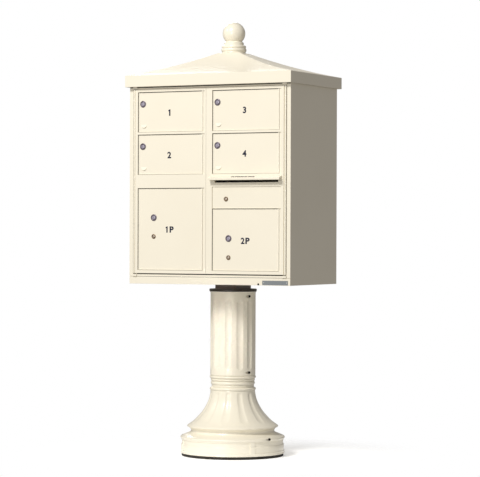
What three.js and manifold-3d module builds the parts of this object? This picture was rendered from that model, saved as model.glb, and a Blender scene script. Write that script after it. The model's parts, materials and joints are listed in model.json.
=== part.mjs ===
// Cluster mailbox unit: a pedestal-mounted steel and aluminium cabinet with four tenant
// compartments, two parcel lockers and an outgoing-mail slot, under a hipped hood with a ball
// finial, on a rectangular post dressed by a two-piece fluted column cover.
// Millimetres. +Z is up, the front faces -Y, and the origin is the centre of the base pad's
// underside, on the ground.
import * as THREE from "three";
import { mergeVertices } from "three/addons/utils/BufferGeometryUtils.js";
import Module from "manifold-3d";

const wasm = await Module();
wasm.setup();

// ---------------------------------------------------------------- driving dimensions
const GAP = 0.3; // clearance kept between pieces that touch
const CABINET = { halfWidth: 387.5, front: -228.5, back: 228.5, bottom: 744, top: 1592.3 };
const SHEET = 3; // wall thickness of the cabinet's sheets
const BAND_TOP = 775; // top edge of the plain band that closes the cabinet's foot
const REVEAL = 1.5; // open joint between that band and the cabinet above it
const JAMB_INNER = 370; // inner edge of the side jamb's front flange, from the centre plane
const STOP = { inner: 352, setback: 7.5, reach: 10.5 }; // lip that the master doors close on
const FRAME = { outer: 357.5, front: -233.5, back: -221.8, bottom: 789.6, top: 1581 };
const SEAM = { x: -11, half: 0.4 }; // open joint where the two master doors meet
const HINGE = { x: 364, y: -229, barrel: 3.8, bore: 2.3, pin: 2 }; // master door hinge line
const APERTURE = { inner: 18.5, width: 326.5, hingeStrip: 317.6, stripFront: -229.5 };
const LEAF = { front: -228.5, thickness: 3, clearance: 1.3, width: 312.5 };
const KNUCKLE = { offset: 314, y: -229, barrel: 3, bore: 1.8, pin: 1.5, pinReach: 3.7 };
const SHELF = { thickness: 2.5, front: -212.7 };
const HOOD = { halfX: 399, halfY: 252.5, bottom: 1592.6, eave: 1641.7, wall: 3, crown: 52 };
const ROOF_RISE = { linear: 64.5, quadratic: 36.6 }; // height above the eave across the slope
const TUBE = { halfX: 51, halfY: 70, wall: 5, bottom: 22.3, top: 767.7 };
const PAD = { radius: 221.5, thickness: 12 };
const ANCHOR = { spacing: 178, radius: 9 };
const COVER = { bottom: 12.3, top: 719, bore: 87.2, facets: 48 };
const FLUTE = { depth: 4, bottom: 374, top: 676, count: 12 };
const SLOT = { left: 31, right: 332.6, bottom: 1177.5, top: 1187.2 };
const CANOPY = { left: 9, right: 349.5, reach: 27, top: 1206, lip: 1196, underside: 1187.5 };
const LOCK_PANEL = { bottom: 1067.5, top: 1159.5, front: -231.1, joint: 1.5, jointDepth: 4 };

// Rows of each column: [name, bottom, top, kind]
const LEFT_DOORS = [
  ["1", 1397, 1570, "tenant"],
  ["2", 1214, 1387, "tenant"],
  ["1P", 803, 1156, "parcel"],
];
const RIGHT_DOORS = [
  ["3", 1397, 1570, "tenant"],
  ["4", 1214, 1387, "tenant"],
  ["2P", 803, 1067.5, "parcel"],
];
// Lock centres from the aperture's left edge and the leaf's top edge
const LOCK_PLACE = {
  tenant: { x: 23, drop: 51.5 },
  parcel: { x: 77.5, drop: 127 },
  control: { x: 77.5, drop: 208 },
};
const ARROW_LOCK = { x: 85, z: 1107.5 };

// ---------------------------------------------------------------- finishes
const finish = (color, roughness, metalness) => () =>
  new THREE.MeshStandardMaterial({ color, roughness, metalness });
const CREAM = finish(0xf0e8cf, 0.45, 0.1);
const BRONZE_PAINT = finish(0x3a2f28, 0.5, 0.3);
const RUBBER = finish(0x1c1b1a, 0.85, 0);
const STEEL = finish(0xb9b7b2, 0.35, 0.9);
const ALUMINIUM = finish(0xcfcdc6, 0.4, 0.85);
const CHROME = finish(0xc9c7d2, 0.2, 1);
const BRASS = finish(0x8a7448, 0.35, 0.9);
const PLATE_GREY = finish(0x8d9293, 0.4, 0.6);

// ---------------------------------------------------------------- shape helpers
const box = (x0, x1, y0, y1, z0, z1) =>
  new THREE.BoxGeometry(x1 - x0, y1 - y0, z1 - z0).translate(
    (x0 + x1) / 2,
    (y0 + y1) / 2,
    (z0 + z1) / 2,
  );

const outline = (points) => new THREE.Shape(points.map(([u, v]) => new THREE.Vector2(u, v)));

// An outline in X and Y, pulled up from z0 to z1.
const prismZ = (points, z0, z1) =>
  new THREE.ExtrudeGeometry(outline(points), { depth: z1 - z0, bevelEnabled: false }).translate(
    0,
    0,
    z0,
  );

// An outline in Y and Z, pulled along X from x0 to x1.
const prismX = (points, x0, x1) =>
  new THREE.ExtrudeGeometry(outline(points), { depth: x1 - x0, bevelEnabled: false })
    .rotateY(Math.PI / 2)
    .rotateX(Math.PI / 2)
    .translate(x0, 0, 0);

// A profile of [radius, height] turned about Z.
const turned = (profile, facets) =>
  new THREE.LatheGeometry(
    profile.map(([r, h]) => new THREE.Vector2(r, h)),
    facets,
  ).rotateX(Math.PI / 2);

const rodZ = (x, y, z0, z1, radius, facets = 12) =>
  new THREE.CylinderGeometry(radius, radius, z1 - z0, facets)
    .rotateX(Math.PI / 2)
    .translate(x, y, (z0 + z1) / 2);

const rodY = (x, z, y0, y1, radius, facets = 16) =>
  new THREE.CylinderGeometry(radius, radius, y1 - y0, facets).translate(x, (y0 + y1) / 2, z);

function toSolid(geometry) {
  const plain = geometry.clone();
  plain.deleteAttribute("normal");
  plain.deleteAttribute("uv");
  const merged = mergeVertices(plain, 1e-3);
  return new wasm.Manifold(
    new wasm.Mesh({
      numProp: 3,
      vertProperties: new Float32Array(merged.attributes.position.array),
      triVerts: new Uint32Array(merged.index.array),
    }),
  );
}

function toGeometry(solid) {
  const mesh = solid.getMesh();
  const geometry = new THREE.BufferGeometry();
  geometry.setAttribute("position", new THREE.BufferAttribute(mesh.vertProperties, 3));
  geometry.setIndex(new THREE.BufferAttribute(mesh.triVerts, 1));
  geometry.computeVertexNormals();
  return geometry;
}

const combine = (method, first, others) =>
  toGeometry(others.reduce((solid, other) => solid[method](toSolid(other)), toSolid(first)));
const join = (first, ...others) => combine("add", first, others);
const cut = (first, ...others) => combine("subtract", first, others);
const common = (first, ...others) => combine("intersect", first, others);

const unit = new THREE.Group();

function place(parent, name, geometry, material) {
  const mesh = new THREE.Mesh(geometry, material());
  mesh.name = name;
  parent.add(mesh);
  return mesh;
}

// ---------------------------------------------------------------- pedestal
function anchorHoles(z0, z1) {
  const half = ANCHOR.spacing / 2;
  const corners = [-half, half].flatMap((x) => [-half, half].map((y) => [x, y]));
  return corners.map(([x, y]) => rodZ(x, y, z0 - 1, z1 + 1, ANCHOR.radius));
}

function buildPedestal(parent) {
  const plate = { half: 127, bottom: PAD.thickness + GAP, top: TUBE.bottom - GAP };
  const pad = rodZ(0, 0, 0, PAD.thickness, PAD.radius, COVER.facets);
  place(parent, "base_pad", cut(pad, ...anchorHoles(0, PAD.thickness)), RUBBER);
  const { half, bottom, top } = plate;
  const foot = box(-half, half, -half, half, bottom, top);
  place(parent, "pedestal_base_plate", cut(foot, ...anchorHoles(bottom, top)), BRONZE_PAINT);
  const { halfX, halfY, wall } = TUBE;
  const tube = cut(
    box(-halfX, halfX, -halfY, halfY, TUBE.bottom, TUBE.top),
    box(wall - halfX, halfX - wall, wall - halfY, halfY - wall, TUBE.bottom - 1, TUBE.top + 1),
  );
  place(parent, "pedestal_tube", tube, BRONZE_PAINT);
  const flange = box(-100, 100, -100, 100, TUBE.top + GAP, BAND_TOP - GAP);
  place(parent, "pedestal_top_plate", flange, BRONZE_PAINT);
}

// Outer face of the column cover, from its foot to its top rim.
const COVER_OUTLINE = [
  [226, COVER.bottom],
  [227, 15],
  [225.5, 18],
  [225.5, 50],
  [222.5, 53],
  [222.5, 74],
  [226, 79],
  [224, 85],
  [183, 103],
  [181, 113],
  [197, 127],
  [196, 131],
  [170, 150],
  [149, 171],
  [131, 192],
  [115, 218],
  [104, 243],
  [96.5, 282],
  [99.5, 294],
  [90.5, 309],
  [95.5, 323],
  [94, 332],
  [100, 346],
  [98, FLUTE.bottom - 14],
  [98, FLUTE.bottom],
  [98, FLUTE.top],
  [98, FLUTE.top + 10],
  [98, 707],
  [101, 710],
  [101, COVER.top],
];
// Its hollow, from the top rim down to the foot.
const COVER_HOLLOW = [
  [COVER.bore, COVER.top],
  [COVER.bore, 285],
  [96, 245],
  [122, 186],
  [172, 122],
  [172, 98],
  [216, 70],
  [216, COVER.bottom],
];

// The closed ring of the cover, with its shaft fluted.
function coverRing() {
  const ring = turned([...COVER_OUTLINE, ...COVER_HOLLOW, COVER_OUTLINE[0]], COVER.facets);
  const position = ring.attributes.position;
  const pitch = (2 * Math.PI) / FLUTE.count;
  const facet = (2 * Math.PI) / COVER.facets;
  for (let i = 0; i < position.count; i++) {
    const [x, y, z] = [position.getX(i), position.getY(i), position.getZ(i)];
    const radius = Math.hypot(x, y);
    if (z < FLUTE.bottom - 1 || z > FLUTE.top + 1 || radius < 97) continue;
    const fromLand = Math.abs(((Math.atan2(x, -y) + 4 * Math.PI + pitch / 2) % pitch) - pitch / 2);
    if (fromLand < facet) continue;
    const scale = (radius - FLUTE.depth) / radius;
    position.setXY(i, x * scale, y * scale);
  }
  return ring.rotateZ(facet / 2);
}

// Screws that pull the two cover halves together, each in a pocket beside the seam.
const SEAM_SCREWS = [
  { name: "upper", z: 691, skin: 97, floor: 85.5, axis: 90, head: -22 },
  { name: "middle", z: 362, skin: 97, floor: 85.5, axis: 90, head: -22 },
  { name: "lower", z: 82, skin: 208, floor: 206, axis: 211, head: -66 },
];
const SCREW = { shank: 2.5, bore: 2.8, headRadius: 4.5, headHeight: 3.5, tip: 12 };

function seamBoss(screw, side, y0, y1) {
  const inner = screw.floor - 5;
  const [xa, xb] = [side * inner, side * screw.skin].sort((a, b) => a - b);
  const block = box(xa, xb, y0, y1, screw.z - 9, screw.z + 9);
  return common(block, rodZ(0, 0, screw.z - 10, screw.z + 10, screw.skin, COVER.facets));
}

function seamPocket(screw, side) {
  const [xa, xb] = [side * screw.floor, side * (screw.skin + 20)].sort((a, b) => a - b);
  return box(xa, xb, -100, screw.head + SCREW.headHeight, screw.z - 6, screw.z + 6);
}

function buildCover(parent) {
  const ring = coverRing();
  const reach = 260;
  const frontSpace = box(-reach, reach, -reach, -GAP / 2, 0, 800);
  const rearSpace = box(-reach, reach, GAP / 2, reach, 0, 800);
  const sides = SEAM_SCREWS.flatMap((screw) => [-1, 1].map((side) => [screw, side]));
  const bores = sides.map(([s, side]) =>
    rodY(side * s.axis, s.z, s.head - 1, SCREW.tip + 1, SCREW.bore, 8),
  );
  const frontBosses = sides.map(([s, side]) => seamBoss(s, side, s.head - 30, 0));
  const rearBosses = sides.map(([s, side]) => seamBoss(s, side, 0, SCREW.tip + 4));
  const pockets = sides.map(([s, side]) => seamPocket(s, side));
  const front = cut(common(join(ring, ...frontBosses), frontSpace), ...pockets, ...bores);
  const rear = cut(common(join(ring, ...rearBosses), rearSpace), ...bores);
  place(parent, "pedestal_cover_front", front, CREAM);
  place(parent, "pedestal_cover_rear", rear, CREAM);
  for (const [s, side] of sides) {
    const seat = s.head + SCREW.headHeight + GAP;
    const head = rodY(side * s.axis, s.z, s.head + GAP, seat - 2 * GAP, SCREW.headRadius, 10);
    const shank = rodY(side * s.axis, s.z, s.head + 1, SCREW.tip, SCREW.shank, 8);
    const name = `cover_screw_${s.name}_${side < 0 ? "left" : "right"}`;
    place(parent, name, join(head, shank), STEEL);
  }
}

// ---------------------------------------------------------------- cabinet
// Side sheet with the folded front flange, the hinge channel and the door stop in one section.
function buildSide(parent, side) {
  const { halfWidth, front, back, bottom, top } = CABINET;
  const inside = halfWidth - SHEET;
  const stopFront = front + STOP.setback;
  const stopBack = front + STOP.reach;
  const section = [
    [halfWidth, back],
    [halfWidth, front],
    [JAMB_INNER, front],
    [JAMB_INNER, stopFront],
    [STOP.inner, stopFront],
    [STOP.inner, stopBack],
    [JAMB_INNER + SHEET, stopBack],
    [JAMB_INNER + SHEET, front + SHEET],
    [inside, front + SHEET],
    [inside, back],
  ].map(([x, y]) => [side * x, y]);
  const [xa, xb] = [side * inside, side * halfWidth].sort((a, b) => a - b);
  const skirt = box(xa, xb, front + SHEET + GAP, back, bottom, BAND_TOP + 2 * REVEAL);
  const name = side < 0 ? "side_panel_left" : "side_panel_right";
  place(parent, name, join(prismZ(section, BAND_TOP + REVEAL, top), skirt), CREAM);
}

// Floor or top sheet: a plate whose front edge is folded into a flange and a door stop, with a
// lug at each end that holds the hinge pins. `rise` is +1 for the floor and -1 for the top.
function buildTray(parent, name, face, flange, rise) {
  const { front, back, halfWidth } = CABINET;
  const stopBack = front + STOP.reach;
  const height = (h) => face + rise * h;
  const section = [
    [-190, height(0)],
    [front, height(0)],
    [front, height(flange)],
    [front + STOP.setback, height(flange)],
    [front + STOP.setback, height(flange + 10)],
    [stopBack, height(flange + 10)],
    [stopBack, height(flange - SHEET)],
    [front + SHEET, height(flange - SHEET)],
    [front + SHEET, height(SHEET)],
    [-190, height(SHEET)],
  ];
  const half = halfWidth - SHEET - GAP;
  const [low, high] = [height(0), height(SHEET)].sort((a, b) => a - b);
  const plate = box(-half, half, stopBack + GAP, back - SHEET - GAP, low, high);
  const [lugLow, lugHigh] = [height(0), height(flange)].sort((a, b) => a - b);
  const lugs = [-1, 1].map((side) => {
    const [xa, xb] = [side * 350, side * (JAMB_INNER - GAP)].sort((a, b) => a - b);
    const lugBack = front + STOP.setback - GAP;
    return box(xa, xb, FRAME.front, lugBack, lugLow, lugHigh);
  });
  const [boreLow, boreHigh] = [height(1.2), height(flange + 1)].sort((a, b) => a - b);
  const bores = [-1, 1].map((s) => rodZ(s * HINGE.x, HINGE.y, boreLow, boreHigh, HINGE.bore));
  const tray = join(prismX(section, GAP - STOP.inner, STOP.inner - GAP), plate, ...lugs);
  place(parent, name, cut(tray, ...bores), CREAM);
}

const SHELVES = [
  ["shelf_left_upper", -1, 1390.75],
  ["shelf_left_lower", -1, 1186],
  ["shelf_right_upper", 1, 1390.75],
  ["shelf_right_middle", 1, 1209],
  ["shelf_right_lower", 1, 1062.5],
];

function buildRack(parent) {
  const { halfWidth, back, top } = CABINET;
  const rear = back - SHEET - GAP;
  const web = SHEET / 2;
  const tee = [
    [-14, -216],
    [14, -216],
    [14, -213],
    [web, -213],
    [web, rear],
    [-web, rear],
    [-web, -213],
    [-14, -213],
  ];
  const bottom = BAND_TOP + REVEAL + SHEET + GAP;
  place(parent, "rack_divider", prismZ(tee, bottom, top - SHEET - GAP), ALUMINIUM);
  for (const [name, side, z] of SHELVES) {
    const reach = halfWidth - SHEET - GAP;
    const [xa, xb] = [side * (web + GAP), side * reach].sort((a, b) => a - b);
    const shelf = box(xa, xb, SHELF.front, rear, z, z + SHELF.thickness);
    place(parent, name, shelf, ALUMINIUM);
  }
}

function buildCabinet(parent) {
  const { halfWidth, front, back, bottom, top } = CABINET;
  buildSide(parent, -1);
  buildSide(parent, 1);
  const half = halfWidth - SHEET - GAP;
  place(parent, "back_panel", box(-half, half, back - SHEET, back, bottom, top), CREAM);
  const band = box(-halfWidth, halfWidth, front, front + SHEET, bottom, BAND_TOP);
  place(parent, "base_band", band, CREAM);
  buildTray(parent, "floor_panel", BAND_TOP + REVEAL, 8.2, 1);
  buildTray(parent, "top_panel", top, 9, -1);
  buildRack(parent);
  const plate = box(257, 377, front - 1.3, front - GAP, 746, 764.5);
  place(parent, "data_plate", plate, PLATE_GREY);
}

// ---------------------------------------------------------------- hood and finial
// A closed skin through rectangular rings given as [half X, half Y, height].
function loftedRings(rings) {
  const positions = rings.flatMap(([x, y, z]) => [-x, -y, z, x, -y, z, x, y, z, -x, y, z]);
  const faces = [0, 2, 1, 0, 3, 2];
  for (let r = 0; r < rings.length - 1; r++) {
    for (let k = 0; k < 4; k++) {
      const [a, b] = [4 * r + k, 4 * r + ((k + 1) % 4)];
      faces.push(a, b, b + 4, a, b + 4, a + 4);
    }
  }
  const last = 4 * (rings.length - 1);
  faces.push(last, last + 1, last + 2, last, last + 2, last + 3);
  const geometry = new THREE.BufferGeometry();
  geometry.setAttribute("position", new THREE.Float32BufferAttribute(positions, 3));
  geometry.setIndex(faces);
  return geometry;
}

// Rings of the hood's outer face, or of its hollow when inset by the wall thickness.
function hoodRings(inset, bottom) {
  const steps = 8;
  const rings = [[HOOD.halfX - inset, HOOD.halfY - inset, bottom]];
  for (let i = 0; i <= steps; i++) {
    const t = i / steps;
    const rise = ROOF_RISE.linear * t + ROOF_RISE.quadratic * t * t;
    const x = THREE.MathUtils.lerp(HOOD.halfX, HOOD.crown, t) - inset;
    const y = THREE.MathUtils.lerp(HOOD.halfY, HOOD.crown, t) - inset;
    rings.push([x, y, HOOD.eave + rise - inset]);
  }
  return rings;
}

function buildHood(parent) {
  const { bottom, wall } = HOOD;
  const outer = loftedRings(hoodRings(0, bottom));
  const hollow = loftedRings(hoodRings(wall, bottom + wall));
  const mouth = box(-365, 365, -205, 205, bottom - 1, bottom + wall + 1);
  place(parent, "hood", cut(outer, hollow, mouth), CREAM);
}

const CROWN_TOP = HOOD.eave + ROOF_RISE.linear + ROOF_RISE.quadratic;
const BALL = { radius: 49, centre: 1829.5, neck: 34.7 };

function buildFinial(parent) {
  const base = CROWN_TOP + GAP;
  const stem = [
    [0, base],
    [51, base],
    [51, 1751],
    [54.5, 1754.5],
    [54.5, 1760.5],
    [51, 1764],
    [52.5, 1767.5],
    [52, 1773],
    [49, 1776.5],
    [43, 1779],
    [42.5, 1789.5],
    [38, 1792.5],
    [BALL.neck, 1794],
  ];
  const start = -Math.acos(BALL.neck / BALL.radius);
  const steps = 10;
  const ball = Array.from({ length: steps }, (_, i) => {
    const angle = THREE.MathUtils.lerp(start, Math.PI / 2, (i + 1) / steps);
    const radius = i === steps - 1 ? 0 : BALL.radius * Math.cos(angle);
    return [radius, BALL.centre + BALL.radius * Math.sin(angle)];
  });
  place(parent, "finial", turned([...stem, ...ball], 24), CREAM);
}

// ---------------------------------------------------------------- locks
// Locks are drawn along local Z, which faces out of the door; local Y is up.
const BARREL = { collar: 14.5, shank: 9.8, bore: 7.8, proud: 2.6, depth: 8.9 };
const PLUG = { radius: 7.5, face: 2.2 };
const CAM = { thickness: 2, halfWidth: 6, front: -9.3 };

function lockGroup(parent, x, z, face = LEAF.front) {
  const group = new THREE.Group();
  group.rotation.x = Math.PI / 2;
  group.position.set(x, face, z);
  parent.add(group);
  return group;
}

function lockBarrel(collar = BARREL.collar) {
  const { shank, bore, proud, depth } = BARREL;
  const profile = [
    [bore, -depth],
    [shank, -depth],
    [shank, 0.2],
    [collar, 0.2],
    [collar, proud - 0.9],
    [collar - 0.9, proud],
    [bore, proud],
    [bore, -depth],
  ];
  return turned(profile, 20);
}

// A cam arm with a round tip, reaching `length` from the lock's axis at `angle` from straight up.
function camArm(length, angle, front = CAM.front) {
  const { halfWidth, thickness } = CAM;
  const arm = new THREE.Shape();
  arm.moveTo(-halfWidth, 0);
  arm.lineTo(halfWidth, 0);
  arm.lineTo(halfWidth, length - halfWidth);
  arm.absarc(0, length - halfWidth, halfWidth, 0, Math.PI, false);
  arm.closePath();
  const settings = { depth: thickness, bevelEnabled: false, curveSegments: 6 };
  const plate = new THREE.ExtrudeGeometry(arm, settings).translate(0, 0, front - thickness);
  return plate.rotateZ(angle);
}

// The part that turns with the key: plug, keyway and cam in one piece.
function turningPlug({ head, face, shaft, camLength, camAngle, camFront = CAM.front }) {
  const back = camFront - CAM.thickness;
  const core = turned([[0, back], [shaft, back], [shaft, 0.2], [head, 0.2], [head, face], [0, face]], 16);
  const keyway = box(-0.9, 0.9, -4, 4, face - 2.5, face + 1);
  return cut(join(core, camArm(camLength, camAngle, camFront)), keyway);
}

const TENANT_CAM = 28.5;
const PARCEL_CAM = 83;
const ARROW_CAM = { length: 74, front: -20.1 };
const TO_LOWER_LEFT = (125 * Math.PI) / 180; // the control cam parks 35 degrees short of level

function buildKeyLock(parent, name, x, z, camLength) {
  const group = lockGroup(parent, x, z);
  place(group, `lock_barrel_${name}`, lockBarrel(), CHROME);
  const { radius, face } = PLUG;
  const plug = turningPlug({ head: radius, face, shaft: radius, camLength, camAngle: 0 });
  place(group, `lock_plug_${name}`, plug, CHROME);
}

function buildControlLock(parent, name, x, z) {
  const group = lockGroup(parent, x, z);
  const shape = { head: 10, face: 2.2, shaft: 7.4, camLength: PARCEL_CAM, camAngle: TO_LOWER_LEFT };
  place(group, `control_lock_${name}`, turningPlug(shape), BRASS);
}

function buildArrowLock(parent) {
  const { x, z } = ARROW_LOCK;
  const caseFront = FRAME.back + GAP;
  const body = box(x - 22, x + 22, caseFront, caseFront + 9.5, z - 26, z + 26);
  const bore = rodY(x, z, caseFront - 1, caseFront + 11, BARREL.bore);
  place(parent, "arrow_lock_case", cut(body, bore), STEEL);
  const group = lockGroup(parent, x, z, LOCK_PANEL.front);
  const shape = { head: 10, face: 2.4, shaft: 7.4, camLength: ARROW_CAM.length, camAngle: 0 };
  place(group, "arrow_lock_plug", turningPlug({ ...shape, camFront: ARROW_CAM.front }), BRASS);
}

// ---------------------------------------------------------------- compartment doors
const FINGER_LIP = { radius: 14, x: 28.5, rise: 33, proud: 4 };

// A half-moon lip pressed out of the leaf near its lower free corner, proudest along its foot.
function fingerLip(left, bottom) {
  const { radius, x, rise, proud } = FINGER_LIP;
  const [centre, middle] = [left + x, bottom + rise];
  const root = LEAF.front + 1;
  const wedge = [
    [root, middle],
    [LEAF.front, middle],
    [LEAF.front - proud, middle - radius],
    [root, middle - radius],
  ];
  const disc = rodY(centre, middle, LEAF.front - proud - 1, root + 1, radius - 0.1, 24);
  return common(prismX(wedge, centre - radius, centre + radius), disc);
}

function lockCentre(kind, left, top) {
  return [left + LOCK_PLACE[kind].x, top - LOCK_PLACE[kind].drop];
}

function buildDoor(parent, left, [name, bottom, top, kind]) {
  const { front, thickness, clearance, width } = LEAF;
  const [low, high] = [bottom + clearance, top - clearance];
  const leaf = box(left + clearance, left + width, front, front + thickness, low, high);
  const pinX = left + KNUCKLE.offset;
  const knuckle = rodZ(pinX, KNUCKLE.y, low, high, KNUCKLE.barrel);
  const bore = rodZ(pinX, KNUCKLE.y, low - 1, high + 1, KNUCKLE.bore, 8);
  const holes = [bore];
  const lockHole = (lock, radius) => {
    const [x, z] = lockCentre(lock, left, top);
    holes.push(rodY(x, z, front - 1, front + thickness + 1, radius));
    return [x, z];
  };
  const main = lockHole(kind, BARREL.shank + GAP);
  const control = kind === "parcel" ? lockHole("control", BARREL.bore) : null;
  const lips = kind === "tenant" ? [fingerLip(left, bottom)] : [];
  place(parent, `door_${name}`, cut(join(leaf, knuckle, ...lips), ...holes), CREAM);
  const { pinReach, pin } = KNUCKLE;
  const rod = rodZ(pinX, KNUCKLE.y, bottom - pinReach, top + pinReach, pin, 8);
  place(parent, `door_pin_${name}`, rod, STEEL);
  buildKeyLock(parent, name, ...main, kind === "parcel" ? PARCEL_CAM : TENANT_CAM);
  if (control) buildControlLock(parent, name, ...control);
}

// ---------------------------------------------------------------- master doors
function apertureCuts(left, [, bottom, top]) {
  const strip = left + APERTURE.hingeStrip;
  const end = left + APERTURE.width;
  const pinX = left + KNUCKLE.offset;
  return [
    box(left, strip, FRAME.front - 1, FRAME.back + 1, bottom, top),
    box(strip - 1, end, FRAME.front - 1, APERTURE.stripFront, bottom, top),
    rodZ(pinX, KNUCKLE.y, bottom - 4, top + 4, KNUCKLE.bore, 8),
  ];
}

function masterFrame(side, left, doors, extraCuts) {
  const { outer, front, back, bottom, top } = FRAME;
  const [xa, xb] = [SEAM.x + side * SEAM.half, side * outer].sort((a, b) => a - b);
  const [wa, wb] = [side * (outer - 1), side * HINGE.x].sort((a, b) => a - b);
  const slab = box(xa, xb, front, back, bottom, top);
  const web = box(wa, wb, HINGE.y + 0.6, HINGE.y + 3.4, bottom, top);
  const barrel = rodZ(side * HINGE.x, HINGE.y, bottom, top, HINGE.barrel);
  const bore = rodZ(side * HINGE.x, HINGE.y, bottom - 1, top + 1, HINGE.bore);
  const openings = doors.flatMap((door) => apertureCuts(left, door));
  return cut(join(slab, web, barrel), bore, ...openings, ...extraCuts);
}

// Mail slot, recessed lock panel and arrow-lock hole of the right-hand master door.
function rightFrameCuts(left) {
  const { bottom, top, front, joint, jointDepth } = LOCK_PANEL;
  const end = left + APERTURE.width;
  const jointFloor = front + jointDepth;
  return [
    box(SLOT.left, SLOT.right, FRAME.front - 1, FRAME.back + 1, SLOT.bottom, SLOT.top),
    box(left, end, FRAME.front - 1, front, bottom + GAP, top),
    box(left, end, FRAME.front - 1, jointFloor, top - joint, top),
    box(left, left + joint, FRAME.front - 1, jointFloor, bottom + GAP, top),
    rodY(ARROW_LOCK.x, ARROW_LOCK.z, FRAME.front, FRAME.back + 1, BARREL.bore),
  ];
}

// Sloped canopy that keeps rain out of the mail slot, closed by a cheek at each end.
function slotCanopy() {
  const { left, right, reach, top, lip, underside } = CANOPY;
  const root = FRAME.front - GAP;
  const nose = FRAME.front - reach;
  const wall = 2;
  const outer = [
    [root, top],
    [nose, lip],
    [nose, underside],
    [root, underside],
  ];
  const hollow = [
    [root + 1, top - wall],
    [nose + wall, lip - wall],
    [nose + wall, underside - 1],
    [root + 1, underside - 1],
  ];
  return cut(prismX(outer, left, right), prismX(hollow, left + wall, right - wall));
}

function buildMasterDoor(side, doors) {
  const word = side < 0 ? "left" : "right";
  const group = new THREE.Group();
  const left = side < 0 ? -APERTURE.inner - APERTURE.width : APERTURE.inner;
  const cuts = side < 0 ? [] : rightFrameCuts(left);
  place(group, `master_frame_${word}`, masterFrame(side, left, doors, cuts), CREAM);
  doors.forEach((door) => buildDoor(group, left, door));
  if (side > 0) {
    place(group, "slot_canopy", slotCanopy(), CREAM);
    buildArrowLock(group);
  }
  const pin = rodZ(side * HINGE.x, HINGE.y, BAND_TOP + REVEAL + 1.5, CABINET.top - 1.9, HINGE.pin);
  place(unit, `master_pin_${word}`, pin, STEEL);
  unit.add(group);
}

buildPedestal(unit);
buildCover(unit);
buildCabinet(unit);
buildHood(unit);
buildFinial(unit);
buildMasterDoor(-1, LEFT_DOORS);
buildMasterDoor(1, RIGHT_DOORS);

export default unit;
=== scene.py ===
"""Looks of the cluster mailbox unit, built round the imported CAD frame.

Blender works in metres, with +Z up and the front facing -Y. Shapes are drawn in millimetres and
new_mesh turns them into metres.
"""

import json
import math

import bmesh
import bpy
from mathutils import Matrix, Vector

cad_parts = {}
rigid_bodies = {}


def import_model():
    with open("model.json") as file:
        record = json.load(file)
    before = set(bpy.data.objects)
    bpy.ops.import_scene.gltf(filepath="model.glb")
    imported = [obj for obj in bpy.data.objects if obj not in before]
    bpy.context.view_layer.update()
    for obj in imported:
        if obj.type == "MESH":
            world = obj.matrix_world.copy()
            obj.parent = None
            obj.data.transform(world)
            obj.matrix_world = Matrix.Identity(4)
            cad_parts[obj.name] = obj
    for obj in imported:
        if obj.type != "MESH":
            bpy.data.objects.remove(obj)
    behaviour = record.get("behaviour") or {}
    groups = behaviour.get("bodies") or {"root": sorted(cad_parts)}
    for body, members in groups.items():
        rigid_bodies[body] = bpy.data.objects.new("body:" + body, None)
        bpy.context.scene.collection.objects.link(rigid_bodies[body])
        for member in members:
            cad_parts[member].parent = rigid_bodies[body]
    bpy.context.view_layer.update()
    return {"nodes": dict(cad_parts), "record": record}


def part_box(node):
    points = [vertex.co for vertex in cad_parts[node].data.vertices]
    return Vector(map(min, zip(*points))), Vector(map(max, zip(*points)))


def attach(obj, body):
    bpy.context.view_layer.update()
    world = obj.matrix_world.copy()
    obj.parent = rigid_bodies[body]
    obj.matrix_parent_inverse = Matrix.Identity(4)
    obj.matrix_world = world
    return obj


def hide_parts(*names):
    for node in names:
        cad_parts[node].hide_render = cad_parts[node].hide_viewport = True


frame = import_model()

# What the record says: each node's body and material slot, and where each joint's axis stands.
RECORD = frame["record"]
BODY_OF = {node: body for body, nodes in RECORD["behaviour"]["bodies"].items() for node in nodes}
SLOT_OF = {row["node"]: row["material_slot"] for row in RECORD["subparts"]}
AXIS_OF = {joint["child"]: Vector(joint["pos_m"]) for joint in RECORD["behaviour"]["joints"]}


# ---------------------------------------------------------------- camera, light and stage
CAMERA = {"place": (4.4726, -8.5819, 0.9625), "yaw": 27.355, "pitch": -0.132, "roll": 0.197}
FOCAL_LENGTH = 167.14
SENSOR_WIDTH = 36.0

# Azimuth and elevation in degrees, distance and size in metres, power in watts.
SOFTBOXES = {
    "key": (-7, 40, 9.0, 2.2, 590),
    "front_fill": (4, 6, 9.0, 2.4, 170),
    "left_fill": (-60, 30, 9.0, 2.4, 60),
    "rear_fill": (215, 25, 8.0, 3.0, 120),
}
SOFTBOX_COLOUR = (1.0, 0.98, 0.95)
DRAPE_COLOUR = (1.0, 0.96, 0.92, 1)
DRAPE_STRENGTH = 0.3
WHITE = (1, 1, 1, 1)
FLOOR = {"radius": 1.2, "glow": 0.35, "fade_from": 0.22, "fade_to": 1.0}
FLOOR_COLOUR = (0.86, 0.86, 0.86, 1)


def add_camera():
    """Level view from 27 degrees to the right of the front, 9.7 m away."""
    data = bpy.data.cameras.new("camera")
    data.sensor_width = SENSOR_WIDTH
    data.lens = FOCAL_LENGTH
    data.clip_end = 200.0
    camera = bpy.data.objects.new("camera", data)
    bpy.context.scene.collection.objects.link(camera)
    yaw, pitch, roll = (math.radians(CAMERA[name]) for name in ("yaw", "pitch", "roll"))
    turn = Matrix.Rotation(yaw, 4, "Z") @ Matrix.Rotation(math.pi / 2 + pitch, 4, "X")
    turn = turn @ Matrix.Rotation(roll, 4, "Z")
    camera.matrix_world = Matrix.Translation(CAMERA["place"]) @ turn
    bpy.context.scene.camera = camera


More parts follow.
